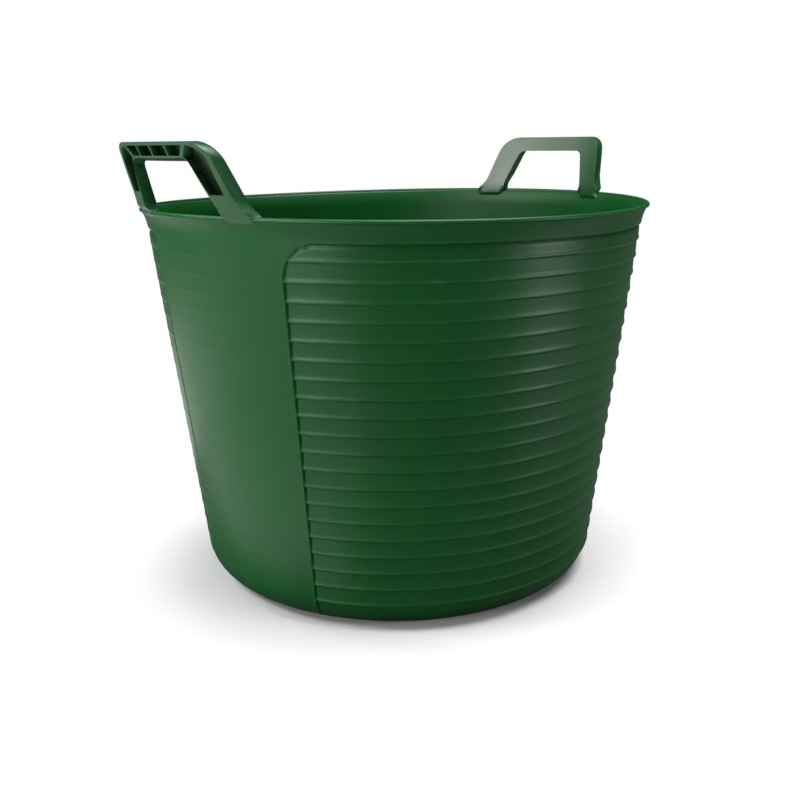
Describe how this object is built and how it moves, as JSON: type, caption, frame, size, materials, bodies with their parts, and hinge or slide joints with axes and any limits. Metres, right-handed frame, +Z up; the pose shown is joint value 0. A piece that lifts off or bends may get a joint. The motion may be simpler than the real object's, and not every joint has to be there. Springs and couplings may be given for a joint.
{
  "type": "flexible mixing tub",
  "caption": "Flexible round mortar mixing tub with ribbed walls, smooth side straps, a flared lip and two bending loop handles.",
  "frame": {"origin": "centre of the ground plane under the tub", "axes": "+Z up along the tub's axis, +X through the right handle, +Y to the back"},
  "size_m": [0.5076, 0.4496, 0.391],
  "materials": {
    "green_polyethylene": "satin"
  },
  "bodies": {
    "tub": {"floor_pan": "green_polyethylene", "front_wall": "green_polyethylene", "back_wall": "green_polyethylene", "front_rim": "green_polyethylene", "back_rim": "green_polyethylene"},
    "left_side": {"left_strap": "green_polyethylene", "left_rim": "green_polyethylene", "left_handle_root_front": "green_polyethylene", "left_handle_root_back": "green_polyethylene"},
    "right_side": {"right_strap": "green_polyethylene", "right_rim": "green_polyethylene", "right_handle_root_front": "green_polyethylene", "right_handle_root_back": "green_polyethylene"},
    "left_grip": {"left_handle": "green_polyethylene"},
    "right_grip": {"right_handle": "green_polyethylene"}
  },
  "joints": [
    {"name": "left_side_squeeze", "type": "hinge", "parent": "tub", "child": "left_side", "pos_m": [-0.16683, 0, 0.0386], "axis": [0, 1, 0], "range_deg": [0, 18], "stiffness_Nm_per_rad": 25},
    {"name": "right_side_squeeze", "type": "hinge", "parent": "tub", "child": "right_side", "pos_m": [0.16683, 0, 0.0386], "axis": [0, -1, 0], "range_deg": [0, 18], "stiffness_Nm_per_rad": 25},
    {"name": "left_handle_flex", "type": "hinge", "parent": "left_side", "child": "left_grip", "pos_m": [-0.21233, 0, 0.341], "axis": [0, 1, 0], "range_deg": [-30, 50], "stiffness_Nm_per_rad": 1, "deforming": ["left_handle_root_front", "left_handle_root_back"]},
    {"name": "right_handle_flex", "type": "hinge", "parent": "right_side", "child": "right_grip", "pos_m": [0.21233, 0, 0.341], "axis": [0, -1, 0], "range_deg": [-30, 50], "stiffness_Nm_per_rad": 1, "deforming": ["right_handle_root_front", "right_handle_root_back"]}
  ]
}
